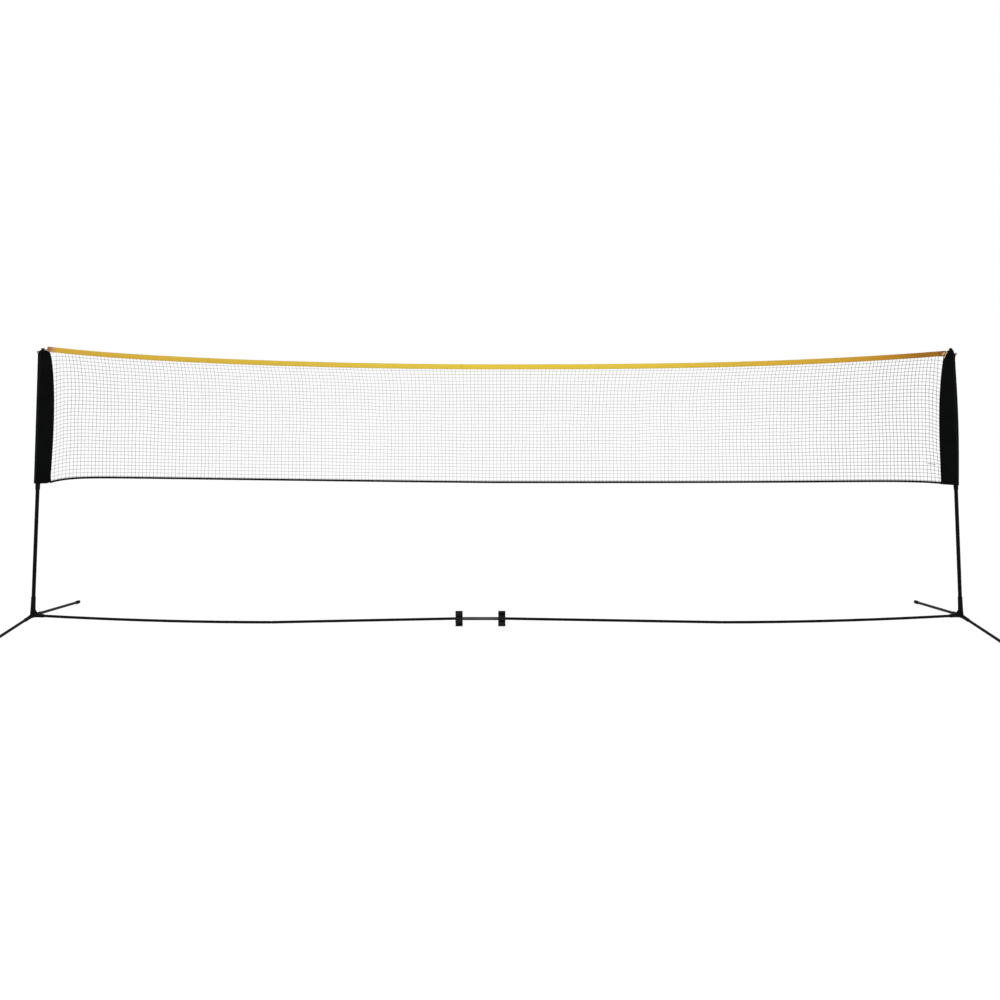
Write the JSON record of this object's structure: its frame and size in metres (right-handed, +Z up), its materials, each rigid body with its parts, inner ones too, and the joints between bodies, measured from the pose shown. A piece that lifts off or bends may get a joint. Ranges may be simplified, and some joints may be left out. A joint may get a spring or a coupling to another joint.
{
  "type": "badminton net",
  "caption": "Free-standing badminton net with telescopic posts, twist locks, plug-in legs, a jointed base bar with storage clips, fabric side sleeves and a yellow top tape.",
  "frame": {"origin": "on the floor, midway between the posts and midway between the front and rear feet", "axes": "+X along the net from the left post to the right post as pictured, +Y from the front feet to the rear feet, +Z up"},
  "size_m": [5.2264, 1.0312, 1.55],
  "materials": {
    "black_steel": "satin",
    "black_plastic": "satin",
    "pale_plastic": "satin",
    "grey_coupling": "satin",
    "foot_rubber": "matte",
    "sleeve_fabric": "matte",
    "tape_yellow": "matte",
    "patch_brown": "matte",
    "net_twine": "matte",
    "cord_black": "matte",
    "loop_cord": "matte"
  },
  "bodies": {
    "base_frame": {"base_connector_left": "black_plastic", "base_connector_right": "black_plastic", "lower_post_left": "black_steel", "lower_post_right": "black_steel", "lock_collet_left": "pale_plastic", "lock_collet_right": "pale_plastic", "bar_outer_left": "black_steel", "bar_outer_right": "black_steel", "bar_inner_left": "black_steel", "bar_inner_right": "black_steel", "bar_coupling": "grey_coupling"},
    "net_assembly": {"upper_post_left": "black_steel", "upper_post_right": "black_steel", "guide_bush_left": "pale_plastic", "guide_bush_right": "pale_plastic", "post_cap_left": "black_plastic", "post_cap_right": "black_plastic", "side_sleeve_left": "sleeve_fabric", "side_sleeve_right": "sleeve_fabric", "tape_end_left": "patch_brown", "tape_end_right": "patch_brown", "tape_loop_left": "loop_cord", "tape_loop_right": "loop_cord", "top_tape": "tape_yellow", "net_mesh": "net_twine", "bottom_cord": "cord_black"},
    "front_leg_left": {"leg_front_left": "black_steel", "foot_front_left": "foot_rubber"},
    "rear_leg_left": {"leg_rear_left": "black_steel", "foot_rear_left": "foot_rubber"},
    "front_leg_right": {"leg_front_right": "black_steel", "foot_front_right": "foot_rubber"},
    "rear_leg_right": {"leg_rear_right": "black_steel", "foot_rear_right": "foot_rubber"},
    "lock_collar_left": {"lock_collar_left": "black_plastic"},
    "lock_collar_right": {"lock_collar_right": "black_plastic"},
    "bar_clip_left": {"bar_clip_left": "black_plastic"},
    "bar_clip_right": {"bar_clip_right": "black_plastic"}
  },
  "joints": [
    {"name": "net_height", "type": "slide", "parent": "base_frame", "child": "net_assembly", "axis": [0, 0, 1], "range_m": [-0.59, 0]},
    {"name": "front_leg_slide_left", "type": "slide", "parent": "base_frame", "child": "front_leg_left", "axis": [0, -0.9951, -0.0989], "range_m": [0, 0.06]},
    {"name": "rear_leg_slide_left", "type": "slide", "parent": "base_frame", "child": "rear_leg_left", "axis": [0, 0.9951, -0.0989], "range_m": [0, 0.06]},
    {"name": "front_leg_slide_right", "type": "slide", "parent": "base_frame", "child": "front_leg_right", "axis": [0, -0.9951, -0.0989], "range_m": [0, 0.06]},
    {"name": "rear_leg_slide_right", "type": "slide", "parent": "base_frame", "child": "rear_leg_right", "axis": [0, 0.9951, -0.0989], "range_m": [0, 0.06]},
    {"name": "lock_collar_turn_left", "type": "hinge", "parent": "base_frame", "child": "lock_collar_left", "pos_m": [-2.5825, 0, 0.7735], "axis": [0, 0, 1], "range_deg": [0, 120]},
    {"name": "lock_collar_turn_right", "type": "hinge", "parent": "base_frame", "child": "lock_collar_right", "pos_m": [2.5825, 0, 0.7735], "axis": [0, 0, 1], "range_deg": [0, 120]},
    {"name": "bar_clip_turn_left", "type": "hinge", "parent": "base_frame", "child": "bar_clip_left", "pos_m": [-0.2097, 0, 0.042], "axis": [1, 0, 0], "continuous": true},
    {"name": "bar_clip_turn_right", "type": "hinge", "parent": "base_frame", "child": "bar_clip_right", "pos_m": [0.0279, 0, 0.042], "axis": [1, 0, 0], "continuous": true}
  ]
}
